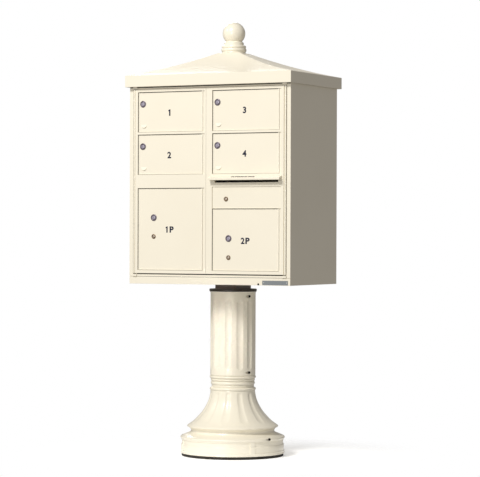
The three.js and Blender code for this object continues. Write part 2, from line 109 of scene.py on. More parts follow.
def add_softbox(name, azimuth, elevation, distance, size, power, aim=1.0, spread=180):
    """A disk light aimed at a height on the object's axis. Azimuth 0 is the front, 90 the right."""
    data = bpy.data.lights.new(name, "AREA")
    data.shape = "DISK"
    data.size = size
    data.energy = power
    data.spread = math.radians(spread)
    data.color = SOFTBOX_COLOUR
    light = bpy.data.objects.new(name, data)
    bpy.context.scene.collection.objects.link(light)
    middle = Vector((0, 0, aim))
    around, up = math.radians(azimuth), math.radians(elevation)
    level = math.cos(up)
    direction = Vector((math.sin(around) * level, -math.cos(around) * level, math.sin(up)))
    light.location = middle + distance * direction
    light.rotation_euler = direction.to_track_quat("Z", "Y").to_euler()


def add_world():
    """White backdrop; the surfaces get the much weaker, slightly warm fill of a draped studio."""
    world = bpy.data.worlds.new("studio")
    bpy.context.scene.world = world
    world.use_nodes = True
    nodes, links = world.node_tree.nodes, world.node_tree.links
    nodes.clear()
    backdrop, draped = nodes.new("ShaderNodeBackground"), nodes.new("ShaderNodeBackground")
    backdrop.inputs["Color"].default_value = WHITE
    draped.inputs["Color"].default_value = DRAPE_COLOUR
    draped.inputs["Strength"].default_value = DRAPE_STRENGTH
    mix, path = nodes.new("ShaderNodeMixShader"), nodes.new("ShaderNodeLightPath")
    output = nodes.new("ShaderNodeOutputWorld")
    links.new(path.outputs["Is Camera Ray"], mix.inputs["Fac"])
    links.new(draped.outputs[0], mix.inputs[1])
    links.new(backdrop.outputs[0], mix.inputs[2])
    links.new(mix.outputs[0], output.inputs["Surface"])


def add_floor():
    """A pale round floor that melts into the backdrop."""
    mesh = bpy.data.meshes.new("floor")
    work = bmesh.new()
    bmesh.ops.create_circle(work, cap_ends=True, radius=FLOOR["radius"], segments=96)
    work.to_mesh(mesh)
    work.free()
    floor = bpy.data.objects.new("floor", mesh)
    bpy.context.scene.collection.objects.link(floor)
    material = bpy.data.materials.new("floor")
    material.use_nodes = True
    nodes, links = material.node_tree.nodes, material.node_tree.links
    surface = nodes["Principled BSDF"]
    surface.inputs["Base Color"].default_value = FLOOR_COLOUR
    surface.inputs["Roughness"].default_value = 0.9
    surface.inputs["Specular IOR Level"].default_value = 0.1
    surface.inputs["Emission Color"].default_value = WHITE
    surface.inputs["Emission Strength"].default_value = FLOOR["glow"]
    place, length = nodes.new("ShaderNodeTexCoord"), nodes.new("ShaderNodeVectorMath")
    length.operation = "LENGTH"
    fade = nodes.new("ShaderNodeMapRange")
    fade.interpolation_type = "SMOOTHERSTEP"
    fade.inputs["From Min"].default_value = FLOOR["fade_from"]
    fade.inputs["From Max"].default_value = FLOOR["fade_to"]
    clear, mix = nodes.new("ShaderNodeBsdfTransparent"), nodes.new("ShaderNodeMixShader")
    links.new(place.outputs["Object"], length.inputs[0])
    links.new(length.outputs["Value"], fade.inputs["Value"])
    links.new(fade.outputs[0], mix.inputs["Fac"])
    links.new(surface.outputs[0], mix.inputs[1])
    links.new(clear.outputs[0], mix.inputs[2])
    links.new(mix.outputs[0], nodes["Material Output"].inputs["Surface"])
    mesh.materials.append(material)


def add_studio():
    """The backdrop, the floor, four softboxes and a narrow light on the column."""
    bpy.context.scene.view_settings.view_transform = "Standard"
    add_world()
    add_floor()
    for name, setting in SOFTBOXES.items():
        add_softbox(name, *setting)
    add_softbox("pedestal_light", -2, 2, 4.0, 0.25, 0.07, aim=0.55, spread=6)


# ---------------------------------------------------------------- materials
class Finish:
    """A Principled material with ways to add the procedural detail that the finishes share."""

    def __init__(self, name, roughness, metallic=0.0, coat=0.0):
        self.material = bpy.data.materials.new(name)
        self.material.use_nodes = True
        self.tree = self.material.node_tree
        self.shader = self.tree.nodes["Principled BSDF"]
        self.shader.inputs["Roughness"].default_value = roughness
        self.shader.inputs["Metallic"].default_value = metallic
        self.shader.inputs["Coat Weight"].default_value = coat
        self.shader.inputs["Coat Roughness"].default_value = 0.08
        self.place = self.add("ShaderNodeTexCoord").outputs["Object"]
        self.bumps = None

    def add(self, kind):
        """A new node of the given kind."""
        return self.tree.nodes.new(kind)

    def link(self, source, target):
        """Joins one node's output to another's input."""
        self.tree.links.new(source, target)

    def stretched(self, scale):
        """The object's own coordinates, scaled along each axis."""
        mapping = self.add("ShaderNodeMapping")
        mapping.inputs["Scale"].default_value = scale
        self.link(self.place, mapping.inputs["Vector"])
        return mapping.outputs["Vector"]

    def noise(self, scale, detail, rough=0.5, vector=None):
        """Noise of the given scale, over the object's own coordinates unless told otherwise."""
        node = self.add("ShaderNodeTexNoise")
        node.inputs["Scale"].default_value = scale
        node.inputs["Detail"].default_value = detail
        node.inputs["Roughness"].default_value = rough
        self.link(vector or self.place, node.inputs["Vector"])
        return node.outputs["Fac"]

    def colour(self, value, dark, light):
        """Base colour that goes from dark to light with the value."""
        node = self.add("ShaderNodeValToRGB")
        first, last = node.color_ramp.elements
        first.position, first.color = 0.3, (*dark, 1)
        last.position, last.color = 0.72, (*light, 1)
        self.link(value, node.inputs["Fac"])
        self.link(node.outputs["Color"], self.shader.inputs["Base Color"])

    def roughness(self, value, low, high):
        """Roughness that goes from low to high with the value."""
        node = self.add("ShaderNodeMapRange")
        node.inputs["To Min"].default_value = low
        node.inputs["To Max"].default_value = high
        self.link(value, node.inputs["Value"])
        self.link(node.outputs[0], self.shader.inputs["Roughness"])

    def bump(self, value, strength, distance):
        """A bump on top of the bumps that are already there."""
        node = self.add("ShaderNodeBump")
        node.inputs["Strength"].default_value = strength
        node.inputs["Distance"].default_value = distance
        self.link(value, node.inputs["Height"])
        if self.bumps:
            self.link(self.bumps, node.inputs["Normal"])
        self.bumps = node.outputs["Normal"]
        self.link(self.bumps, self.shader.inputs["Normal"])


def painted(name, dark, light, roughness, coat, peel):
    """Baked powder coat: faint mottling, an orange-peel skin and slow changes of gloss."""
    finish = Finish(name, roughness, coat=coat)
    mottling, gloss = finish.noise(2.6, 4.0), finish.noise(9.0, 2.0)
    orange_peel, waviness = finish.noise(420.0, 2.0), finish.noise(24.0, 2.0)
    finish.colour(mottling, dark, light)
    finish.roughness(gloss, roughness - 0.05, roughness + 0.07)
    finish.bump(orange_peel, peel, 0.0002)
    finish.bump(waviness, 0.05, 0.0012)
    return finish.material


def metal(name, dark, light, roughness, grain, metallic):
    """Bare or plated metal with fine scratches, long along the axis where grain is small."""
    finish = Finish(name, roughness, metallic=metallic)
    streaks = finish.noise(220.0, 4.0, 0.6, finish.stretched(grain))
    finish.colour(streaks, dark, light)
    finish.roughness(streaks, max(0.05, roughness - 0.06), roughness + 0.1)
    finish.bump(streaks, 0.12, 0.00005)
    return finish.material


def rubber(name):
    """Matt, faintly grainy black rubber, also used for the black strips that are painted shade."""
    finish = Finish(name, 0.85)
    mottling, grain = finish.noise(60.0, 5.0), finish.noise(700.0, 3.0)
    finish.colour(mottling, (0.011, 0.009, 0.006), (0.03, 0.025, 0.018))
    finish.bump(grain, 0.3, 0.0003)
    return finish.material


# Dark and light colour, roughness, coat and orange peel.
PAINTS = {
    "cream_coat": ((0.84, 0.787, 0.655), (0.87, 0.82, 0.69), 0.42, 0.12, 0.1),
    "cream_casting": ((0.85, 0.8, 0.665), (0.88, 0.832, 0.702), 0.3, 0.35, 0.06),
    "bronze_paint": ((0.1, 0.074, 0.062), (0.15, 0.115, 0.098), 0.34, 0.1, 0.2),
    # The dark paint on the next line is painted shade: it colours the ring on the column cover's rim,
    # where the cabinet's shadow falls.
    "rim_painted_shade": ((0.02, 0.016, 0.014), (0.045, 0.036, 0.03), 0.4, 0.1, 0.1),
    "plate_grey": ((0.2, 0.22, 0.235), (0.24, 0.26, 0.275), 0.35, 0.2, 0.05),
    "number_ink": ((0.002, 0.004, 0.02), (0.003, 0.007, 0.035), 0.6, 0, 0.05),
}
EVEN = (1, 1, 1)
# Dark and light colour, roughness, how the grain is stretched and how metallic it is.
METALS = {
    "zinc_steel": ((0.42, 0.42, 0.42), (0.62, 0.62, 0.6), 0.3, (1, 1, 0.1), 1.0),
    "aluminium": ((0.66, 0.66, 0.65), (0.8, 0.8, 0.78), 0.38, (0.08, 1, 1), 1.0),
    "chrome_lock": ((0.42, 0.39, 0.47), (0.6, 0.57, 0.68), 0.3, EVEN, 0.5),
    # The collar colour on the next line is a darker copy of the plug's chrome: painted shade for the
    # collar's rounded sides.
    "lock_collar_painted_shade": ((0.12, 0.1, 0.125), (0.22, 0.19, 0.23), 0.3, EVEN, 0.5),
    "brass_lock": ((0.16, 0.1, 0.06), (0.28, 0.19, 0.11), 0.32, EVEN, 0.6),
    "lock_core": ((0.42, 0.36, 0.3), (0.6, 0.53, 0.45), 0.3, EVEN, 0.5),
    "dark_screw": ((0.012, 0.012, 0.012), (0.03, 0.028, 0.026), 0.4, EVEN, 1.0),
}


def make_materials():
    """Every finish by name; the names of the CAD's material slots are among them."""
    materials = {name: painted(name, *look) for name, look in PAINTS.items()}
    materials |= {name: metal(name, *look) for name, look in METALS.items()}
    return {**materials, "rubber_pad": rubber("rubber_pad")}


MATERIALS = make_materials()


# ---------------------------------------------------------------- mesh helpers
def new_mesh(name, vertices, faces):
    """A mesh in metres from millimetre vertices, with its faces turned outwards."""
    work = bmesh.new()
    made = [work.verts.new([c * 0.001 for c in v]) for v in vertices]
    for face in faces:
        work.faces.new([made[i] for i in face])
    bmesh.ops.recalc_face_normals(work, faces=work.faces)
    mesh = bpy.data.meshes.new(name)
    work.to_mesh(mesh)
    work.free()
    return mesh


def lathe(profile, segments):
    """Vertices and faces of a profile of (radius, height) turned about Z, closed at the axis."""
    vertices, rings = [], []
    for radius, height in profile:
        count = 1 if radius < 1e-6 else segments
        rings.append(range(len(vertices), len(vertices) + count))
        for k in range(count):
            angle = 2 * math.pi * k / segments
            vertices.append((radius * math.cos(angle), radius * math.sin(angle), height))
    faces = []
    for low, high in zip(rings, rings[1:]):
        for k in range(segments):
            following = (k + 1) % segments
            corners = [low[k % len(low)], low[following % len(low)]]
            corners += [high[following % len(high)], high[k % len(high)]]
            faces.append(list(dict.fromkeys(corners)))
    return vertices, faces


def softened(points, radius, closed=False, steps=4):
    """An outline with its corners rounded, as far as its short sides let them be."""
    count = len(points)
    result = []
    for i, point in enumerate(points):
        if not closed and i in (0, count - 1):
            result.append(point)
            continue
        here = Vector(point)
        before, after = Vector(points[i - 1]) - here, Vector(points[(i + 1) % count]) - here
        turn = math.pi - before.angle(after)
        if turn < math.radians(8):
            result.append(point)
            continue
        reach = min(radius * math.tan(turn / 2), 0.45 * before.length, 0.45 * after.length)
        start, end = here + before.normalized() * reach, here + after.normalized() * reach
        for k in range(steps + 1):
            t = k / steps
            result.append(tuple((1 - t) ** 2 * start + 2 * t * (1 - t) * here + t * t * end))
    return result


def prism(outline, low, high):
    """Vertices and faces of an outline in X and Y pulled from one height to the other."""
    count = len(outline)
    vertices = [(x, y, z) for z in (low, high) for x, y in outline]
    faces = [list(range(count)), list(range(count, 2 * count))]
    faces += [[k, (k + 1) % count, (k + 1) % count + count, k + count] for k in range(count)]
    return vertices, faces


def moved(shape, matrix):
    """The vertices and faces with each vertex moved by the matrix."""
    vertices, faces = shape
    return [tuple(matrix @ Vector(v)) for v in vertices], faces


def joined(*shapes):
    """Several lots of vertices and faces as one."""
    vertices, faces = [], []
    for more_vertices, more_faces in shapes:
        start = len(vertices)
        vertices += more_vertices
        faces += [[i + start for i in face] for face in more_faces]
    return vertices, faces


def cut(mesh, *cutters):
    """The mesh with each of the cutters taken out of it."""
    objects = bpy.context.scene.collection.objects
    base = bpy.data.objects.new("base", mesh)
    objects.link(base)
    tools = []
    for cutter in cutters:
        tool = bpy.data.objects.new("tool", cutter)
        objects.link(tool)
        tools.append(tool)
        modifier = base.modifiers.new("boolean", "BOOLEAN")
        modifier.operation = "DIFFERENCE"
        modifier.solver = "EXACT"
        modifier.object = tool
    evaluated = base.evaluated_get(bpy.context.evaluated_depsgraph_get())
    result = bpy.data.meshes.new_from_object(evaluated)
    for thing in (base, *tools):
        bpy.data.objects.remove(thing)
    return result


def merged(*meshes):
    """Several meshes as one."""
    work = bmesh.new()
    for mesh in meshes:
        work.from_mesh(mesh)
    result = bpy.data.meshes.new("merged")
    work.to_mesh(result)
    work.free()
    return result


def weld(mesh):
    """Joins vertices that lie at the same point and turns the faces outwards."""
    work = bmesh.new()
    work.from_mesh(mesh)
    bmesh.ops.remove_doubles(work, verts=work.verts, dist=1e-6)
    bmesh.ops.recalc_face_normals(work, faces=work.faces)
    work.to_mesh(mesh)
    work.free()


# Edges sharper than this stay sharp, in degrees.
COVER_ANGLE, FINIAL_ANGLE, BOLT_ANGLE, TURNED_ANGLE = 26, 30, 35, 40


def smooth(mesh, angle):
    """Smooth shading, except over edges sharper than the angle in degrees."""
    for face in mesh.polygons:
        face.use_smooth = True
    mesh.set_sharp_from_angle(angle=math.radians(angle))


def piece(name, mesh, body, material, replaced=()):
    """A finished mesh that rides on a CAD body and stands for the given CAD nodes, if any."""
    thing = bpy.data.objects.new(name, mesh)
    bpy.context.scene.collection.objects.link(thing)
    mesh.materials.clear()
    mesh.materials.append(MATERIALS[material])
    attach(thing, body)
    if replaced:
        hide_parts(*replaced)
    return thing


def clean_copy(node):
    """The CAD node's mesh with its flat faces made whole again."""
    work = bmesh.new()
    work.from_mesh(frame["nodes"][node].data)
    bmesh.ops.remove_doubles(work, verts=work.verts, dist=2e-6)
    bmesh.ops.dissolve_limit(
        work, angle_limit=math.radians(0.3), verts=work.verts, edges=work.edges
    )
    mesh = bpy.data.meshes.new(node)
    work.to_mesh(mesh)
    work.free()
    return mesh


EDGE_WIDTH = 0.0008
HOOD_EDGE_WIDTH = 0.0012
EDGE_ANGLE = 12.0


def finish_node(node, width=EDGE_WIDTH):
    """A CAD node with clean faces, its real finish and edges rounded to the width in metres."""
    mesh = clean_copy(node)
    smooth(mesh, EDGE_ANGLE)
    slot = SLOT_OF[node]
    thing = piece(node + "_finished", mesh, BODY_OF[node], slot, [node])
    modifier = thing.modifiers.new("rounded_edges", "BEVEL")
    modifier.width = width
    modifier.segments = 3
    modifier.limit_method = "ANGLE"
    modifier.angle_limit = math.radians(EDGE_ANGLE)
    modifier.harden_normals = True


# ---------------------------------------------------------------- column cover
FLUTE_PITCH = 30
SHAFT_FLUTE = {"low": 374.0, "high": 676.0, "depth": 4.0, "half_angle": 8.5}
BELL_FLUTE = {"low": 146.0, "high": 277.0, "depth": 3.4, "half_angle": 6.5}
PANEL = {"bottom": 25.0, "top": 70.5, "depth": 3.0, "rib_at": 50.0, "rib_half": 2.8}
PLINTH_TOP = 90
COVER_FOOT, COVER_TOP = 12.3, 719
SEAM_GAP = 0.15
POCKET_RADIUS = 6
POCKET_FRONT = 130
# Height, how far out the pocket's floor and its open end are, and how far forward it starts.
SEAM_SCREWS = {
    "upper": (691, 85.5, 120, 18.5),
    "middle": (362, 85.5, 120, 18.5),
    "lower": (82, 206, 250, 62.5),
}


def spline(points, steps):
    """A smooth curve through the points, with the given number of steps between them."""
    result = []
    ends = [points[0], *points, points[-1]]
    for i in range(1, len(ends) - 2):
        p0, p1, p2, p3 = (Vector(p) for p in ends[i - 1 : i + 3])
        for k in range(steps):
            t = k / steps
            curve = 2 * p1 + (p2 - p0) * t + (2 * p0 - 5 * p1 + 4 * p2 - p3) * t**2
            result.append(tuple((curve + (3 * p1 - p0 - 3 * p2 + p3) * t**3) / 2))
    return [*result, tuple(points[-1])]


def bulge(centre_height, half_height, base_radius, reach, steps=10):
    """A half-round moulding that stands out from the base radius."""
    return [
        (
            base_radius + reach * math.sin(math.pi * k / steps),
            centre_height - half_height * math.cos(math.pi * k / steps),
        )
        for k in range(steps + 1)
    ]


def cover_outline():
    """Outer face of the column cover from its foot to its top rim, as (radius, height)."""
    foot = [(225, COVER_FOOT), (227, 14.5), (225.5, 18), (225.5, 50), (222.5, 53.5), (222.5, 75)]
    foot = softened([*foot, (226, 78)], 1.5)
    torus = spline([(226, 78), (226.3, 81), (223, 85.5), (208, 92), (192, 98.5), (183, 103)], 4)
    fillet = spline([(183, 103), (181, 108), (183, 115), (190, 122), (197, 126)], 3)
    lip = softened([(197, 126), (197.5, 129), (195, 132)], 1.0)
    bell_points = [(195, 132), (170, 150), (149, 171), (131, 192), (115, 218), (104, 243)]
    bell = spline([*bell_points, (98.5, 266), (96.5, 283)], 7)
    beads = bulge(289.5, 6, 95, 5) + bulge(302, 5, 91, 1.2, 6) + bulge(315, 7.5, 90, 6)
    collar = bulge(329, 5, 92.5, 3.5) + bulge(341, 6.2, 93.5, 7)
    ends = [k * 1.6 for k in range(11)]
    straight = [350, 360, *(SHAFT_FLUTE["low"] + e for e in ends)]
    straight += [SHAFT_FLUTE["high"] - e for e in reversed(ends)]
    shaft = [(97, 348.5), *((98, z) for z in straight)]
    rim = softened([(98, 690), (98, 706.5), (101, 709.5), (101, 718.6), (100.4, COVER_TOP)], 1.0)
    return foot + torus[1:] + fillet[1:] + lip[1:] + bell[1:] + beads + collar + shaft + rim


def scoop(off_centre, height, radius, flute):
    """How deep a flute with round ends is, as a part of its full depth."""
    half = math.radians(flute["half_angle"]) * radius
    across = math.radians(off_centre) * radius
    beyond = max(flute["low"] + half - height, height - flute["high"] + half, 0.0)
    inside = 1.0 - (across**2 + beyond**2) / half**2
    return max(0.0, inside)


def cover_radius(azimuth, radius, height):
    """The outer radius after the flutes and the plinth's panels."""
    off_centre = azimuth % FLUTE_PITCH - FLUTE_PITCH / 2
    for flute in (SHAFT_FLUTE, BELL_FLUTE):
        if flute["low"] <= height <= flute["high"]:
            return radius - flute["depth"] * scoop(off_centre, height, radius, flute)
    in_panel = PANEL["bottom"] < height < PANEL["top"]
    if in_panel and abs(abs(azimuth) - PANEL["rib_at"]) > PANEL["rib_half"]:
        return radius - PANEL["depth"]
    return radius


def cover_columns():
    """Azimuths of a half cover's columns, close together at the edges of the flutes and ribs."""
    offsets = [1.2, 2.4, 3.6, 4.8, 6.0, 7.0, 7.8, 8.3, 8.7, 9.4, 11.0, 13.0]
    around = [0.0, *offsets, *(-o for o in offsets)]
    columns = {round(c + o, 3) for c in range(-75, 90, FLUTE_PITCH) for o in around}
    columns |= set(range(-90, 91, FLUTE_PITCH))
    for half in (PANEL["rib_half"] - 0.1, PANEL["rib_half"] + 0.1):
        for edge in (PANEL["rib_at"] - half, PANEL["rib_at"] + half):
            columns |= {edge, -edge}
    return sorted(columns)


def with_panel_rows(outline):
    """The outline with rows for the edges of the plinth's panels."""
    result = [outline[0]]
    for (r0, z0), (r1, z1) in zip(outline, outline[1:]):
        for edge in (PANEL["bottom"], PANEL["top"]):
            for z in (edge - 0.4, edge + 0.4):
                if z0 < z < z1 < PLINTH_TOP:
                    result.append((r0 + (r1 - r0) * (z - z0) / (z1 - z0), z))
        result.append((r1, z1))
    return result


def half_shell(facing, azimuths, section_at):
    """A closed half ring with the section that is asked for at each azimuth.

    Facing is -1 for the front half and 1 for the rear.
    """
    vertices, faces = [], []
    for azimuth in azimuths:
        angle = math.radians(azimuth)
        for radius, height in section_at(azimuth):
            y = max(radius * math.cos(angle), SEAM_GAP)
            vertices.append((-facing * radius * math.sin(angle), facing * y, height))
    rows = len(vertices) // len(azimuths)
    for c in range(len(azimuths) - 1):
        for k in range(rows):
            a, b = c * rows + k, c * rows + (k + 1) % rows
            faces.append([a, b, b + rows, a + rows])
    last = len(vertices) - rows
    faces += [list(range(rows)), list(range(last, last + rows))]
    return vertices, faces


def cover_half(facing):
    """A half of the cover, fluted and panelled outside and smooth inside."""
    outline = with_panel_rows(cover_outline())
    hollow = [(87.2, COVER_TOP), (87.2, 300), (88, 285), (96, 245), (122, 186), (172, 122)]
    hollow += [(172, 98), (216, 70), (216, COVER_FOOT)]

    def section_at(azimuth):
        return [(cover_radius(azimuth, r, z), z) for r, z in outline] + hollow

    return half_shell(facing, cover_columns(), section_at)


def seam_pocket(side, floor, reach, height):
    """Outline of a screw pocket seen from the front: open outwards, with a round bottom."""
    outline = [(reach, height - POCKET_RADIUS), (reach, height + POCKET_RADIUS)]
    for k in range(13):
        angle = math.pi / 2 + math.pi * k / 12
        x = floor + POCKET_RADIUS + POCKET_RADIUS * math.cos(angle)
        outline.append((x, height + POCKET_RADIUS * math.sin(angle)))
    return [(side * x, z) for x, z in outline]


def build_cover():
    """Both halves of the column cover, with the screw pockets cut from the front one."""
    pockets = []
    stand_up = Matrix.Rotation(math.pi / 2, 4, "X")
    for height, floor, reach, back in SEAM_SCREWS.values():
        for side in (-1, 1):
            channel = prism(seam_pocket(side, floor, reach, height), back, POCKET_FRONT)
            pockets.append(new_mesh("pocket", *moved(channel, stand_up)))
    front = new_mesh("cover_front", *cover_half(-1))
    front = cut(front, *pockets)
    rear = new_mesh("cover_rear", *cover_half(1))
    for mesh, node in ((front, "pedestal_cover_front"), (rear, "pedestal_cover_rear")):
        smooth(mesh, COVER_ANGLE)
        piece(node + "_cast", mesh, BODY_OF[node], "cream_casting", [node])


def build_cover_screws():
    """Pan-head screws with a round drive recess, at the bottom of each pocket."""
    for name in SEAM_SCREWS:
        for word in ("left", "right"):
            node = f"cover_screw_{name}_{word}"
            low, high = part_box(node)
            centre = Vector(((low.x + high.x) * 500, low.y * 1000, (low.z + high.z) * 500))
            length = (high.y - low.y) * 1000
            head = [(0, -2), (1.9, -2), (1.9, 0), (3.6, 0), (4.9, -0.7), (5.3, -1.8), (5.3, -3.2)]
            body = [(2.5, -3.2), (2.5, 3 - length), (1.2, -length), (0, -length)]
            place = Matrix.Translation(centre) @ Matrix.Rotation(math.pi / 2, 4, "X")
            mesh = new_mesh(node, *moved(lathe(head + body, 32), place))
            smooth(mesh, TURNED_ANGLE)
            piece(node + "_turned", mesh, BODY_OF[node], "dark_screw", [node])


# ---------------------------------------------------------------- finial
BALL_RADIUS, BALL_CENTRE, NECK_RADIUS = 49, 1829.5, 34.7


def build_finial():
    """The finial: a foot, two mouldings, a collar and a ball."""
    base = softened([(0, 1743.1), (51, 1743.1), (51, 1750.5)], 1.0)
    rings = bulge(1757.3, 6.6, 51, 3.7, 12) + bulge(1770.4, 6, 49.6, 3, 12)
    collar = [(49.3, 1776.5), (43, 1778.2), (42.6, 1780), (42.6, 1789), (37.5, 1792.6)]
    collar = softened(collar, 1.2)
    steps = 40
    start = -math.acos(NECK_RADIUS / BALL_RADIUS)
    ball = []
    for k in range(steps):
        angle = start + (math.pi / 2 - start) * k / steps
        height = BALL_CENTRE + BALL_RADIUS * math.sin(angle)
        ball.append((BALL_RADIUS * math.cos(angle), height))
    ball.append((0, BALL_CENTRE + BALL_RADIUS))
    mesh = new_mesh("finial", *lathe(base + rings + collar + ball, 96))
    smooth(mesh, FINIAL_ANGLE)
    piece("finial_cast", mesh, BODY_OF["finial"], "cream_casting", ["finial"])


# ---------------------------------------------------------------- locks
CAM = {"half_width": 6.0, "thickness": 2.0, "front": -9.3}
TENANT_CAM, PARCEL_CAM = 28.5, 83
ARROW_CAM, ARROW_CAM_FRONT = 74, -17.5
SERVICE_CAM_PARKED = math.radians(125)
PLUG_RADIUS = 7.5
PLUG_FACE, SERVICE_FACE, ARROW_FACE = 2.2, 2.2, 5.0


def lock_place(body):
    """Frame of a lock: local Z faces out of the door, local Y is up, in millimetres."""
    x, y, z = AXIS_OF[body] * 1000
    return Matrix.Translation((x, y, z)) @ Matrix.Rotation(math.pi / 2, 4, "X")


def cam_arm(length, angle, front):
    """The flat arm behind a lock, with a round tip."""
    half, back = CAM["half_width"], front - CAM["thickness"]
    outline = [(-half, 0), (half, 0)]
    for k in range(13):
        turn = math.pi * k / 12
        outline.append((half * math.cos(turn), length - half + half * math.sin(turn)))
    return moved(prism(outline, back, front), Matrix.Rotation(angle, 4, "Z"))


def keyed_plug(radius, face, cam):
    """The turning part: a domed plug with a keyway, its shaft and its cam.

    The cam is given as its length, its angle and where its front face is.
    """
    back = cam[2] - CAM["thickness"]
    rim = [(radius, face - 0.7), (radius - 0.25, face - 0.2), (radius - 0.8, face)]
    profile = [(0, back), (radius, back), (radius, 0.2), *rim, (radius * 0.35, face + 0.02), (0, face)]
    plug = new_mesh("plug", *lathe(profile, 48))
    slot = [(-1, -4.6), (1, -4.6), (1, -1.4), (1.6, -0.7), (1, 0), (1, 4.6), (-1, 4.6)]
    keyway = new_mesh("keyway", *prism(slot, face - 3, face + 1))
    return merged(cut(plug, keyway), new_mesh("cam", *cam_arm(*cam)))


def set_in(mesh, matrix):
    """Moves a mesh from the origin to its place; the mesh is in metres, the matrix in mm."""
    position = matrix.to_translation() * 0.001
    mesh.transform(Matrix.Translation(position) @ matrix.to_quaternion().to_matrix().to_4x4())
    return mesh


def build_key_lock(name, cam_length):
    """The lock of a compartment door: its collar on the door, and the plug that turns in it."""
    door, lock = "compartment_door_" + name, "key_lock_" + name
    place = lock_place(lock)
    shell = [(7.8, -8.9), (9.8, -8.9), (9.8, 0.2), (14.5, 0.2), (14.5, 0.9), (14.0, 1.7)]
    shell += [(13.0, 2.3), (11.8, 2.6), (10.4, 2.55), (9.4, 2.2), (8.7, 1.4), (8.5, 0.6), (7.8, 0.4)]
    barrel = new_mesh("barrel", *lathe([*shell, shell[0]], 56))
    weld(barrel)
    smooth(set_in(barrel, place), TURNED_ANGLE)
    node = "lock_barrel_" + name
    # The collar takes the darker copy of the chrome, as painted shade.
    piece(node + "_turned", barrel, door, "lock_collar_painted_shade", [node])
    plug = set_in(keyed_plug(PLUG_RADIUS, PLUG_FACE, (cam_length, 0, CAM["front"])), place)
    smooth(plug, TURNED_ANGLE)
    node = "lock_plug_" + name
    piece(node + "_turned", plug, lock, "chrome_lock", [node])


def build_service_lock(node, body, face, cam):
    """A brass service lock: a wide head with a recessed ring round its bright core."""
    place = lock_place(body)
    back, seat = cam[2] - CAM["thickness"], face - 2.0
    profile = [(0, back), (7.4, back), (7.4, seat), (10, seat), (10, face - 0.8), (9.6, face - 0.25)]
    profile += [(9.0, face), (6.2, face), (5.7, face - 0.3), (5.6, face - 1.3), (0, face - 1.3)]
    head = new_mesh("head", *lathe(profile, 48))
    mesh = set_in(merged(head, new_mesh("arm", *cam_arm(*cam))), place)
    smooth(mesh, TURNED_ANGLE)
    piece(node + "_turned", mesh, body, "brass_lock", [node])
    rim = [(4.9, face - 1.3), (4.9, face - 0.5), (4.3, face - 0.1)]
    core = new_mesh("core", *lathe([(0, face - 1.3), *rim, (0, face)], 40))
    opening = [(-0.6, -3.2), (0.6, -3.2), (0.6, 3.2), (-0.6, 3.2)]
    slot = new_mesh("slot", *prism(opening, face - 1, face + 1))
    core = set_in(cut(core, slot), place)
    smooth(core, TURNED_ANGLE)
    piece(node + "_core", core, body, "lock_core")


# ---------------------------------------------------------------- marks
# Where each number's centre is in X and Z, and its height.
NUMBER_AT = {
    "1": (-191, 1479.5, 28),
    "2": (-192, 1297.5, 28),
    "3": (170.5, 1483, 28),
    "4": (170.5, 1299.5, 28),
    "1P": (-191, 978, 27),
    "2P": (175, 931, 27),
}
NUMBER_THICKNESS = 0.12
FIGURE_SHIFT, LETTER_SHIFT = -0.0115, 0.0116
LETTER_WIDENED = 1.12
SLOT_LABEL_AT = (0.173, -0.24726, 1.20128)
LEAF_FRONT = -0.2285
CANOPY_RISE, CANOPY_RUN = 10, 26.7


def text_mesh(text, height, bold, thickness=NUMBER_THICKNESS):
    """Flat lettering centred on the origin in X and Y, in metres; height and thickness in mm."""
    curve = bpy.data.curves.new("text", "FONT")
    curve.body = text
    curve.align_x = "CENTER"
    curve.offset = bold
    curve.extrude = 0.01
    curve.resolution_u = 6
    thing = bpy.data.objects.new("text", curve)
    bpy.context.scene.collection.objects.link(thing)
    evaluated = thing.evaluated_get(bpy.context.evaluated_depsgraph_get())
    mesh = bpy.data.meshes.new_from_object(evaluated)
    bpy.data.objects.remove(thing)
    xs, ys, zs = zip(*(v.co for v in mesh.vertices))
    scale = height * 0.001 / (max(ys) - min(ys))
    middle = Vector(((max(xs) + min(xs)) / 2, (max(ys) + min(ys)) / 2, min(zs)))
    flat = thickness * 0.001 / (max(zs) - min(zs))
    mesh.transform(Matrix.Diagonal((scale, scale, flat, 1)) @ Matrix.Translation(-middle))
    return mesh


def figure_one(height):
    """A figure 1 with a sloping flag, centred on the origin like the other lettering."""
    outline = [(0.14, -0.5), (0.14, 0.5), (0, 0.5), (-0.24, 0.36), (-0.24, 0.17), (-0.1, 0.25)]
    outline = [(x * height, y * height) for x, y in [*outline, (-0.1, -0.5)]]
    return new_mesh("one", *prism(outline, 0, NUMBER_THICKNESS))


def build_numbers():
    """The compartments' numbers on the doors, with the letter of the parcel lockers."""
    for name, (x, z, height) in NUMBER_AT.items():
        mesh = figure_one(height) if name[0] == "1" else text_mesh(name[0], height, 0.035)
        if name[-1] == "P":
            letter = text_mesh("P", height, 0.04)
            widened = Matrix.Diagonal((LETTER_WIDENED, 1, 1, 1))
            letter.transform(Matrix.Translation((LETTER_SHIFT, 0, 0)) @ widened)
            mesh.transform(Matrix.Translation((FIGURE_SHIFT, 0, 0)))
            mesh = merged(mesh, letter)
        front = max(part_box("door_" + name)[0].y, LEAF_FRONT)
        place = Matrix.Translation((x * 0.001, front - 0.00003, z * 0.001))
        mesh.transform(place @ Matrix.Rotation(math.pi / 2, 4, "X"))
        body = "compartment_door_" + name
        piece("number_" + name, mesh, body, "number_ink")


def build_slot_label():
    """Small lettering along the slope of the canopy over the mail slot."""
    mesh = text_mesh("OUTGOING MAIL", 11.5, 0.05, 0.1)
    slope = math.atan2(CANOPY_RISE, CANOPY_RUN)
    mesh.transform(Matrix.Translation(SLOT_LABEL_AT) @ Matrix.Rotation(slope, 4, "X"))
    piece("slot_label", mesh, "right_master_door", "number_ink")


# ---------------------------------------------------------------- painted shade strips, screws and bolts
STRIP_LENGTH = 311


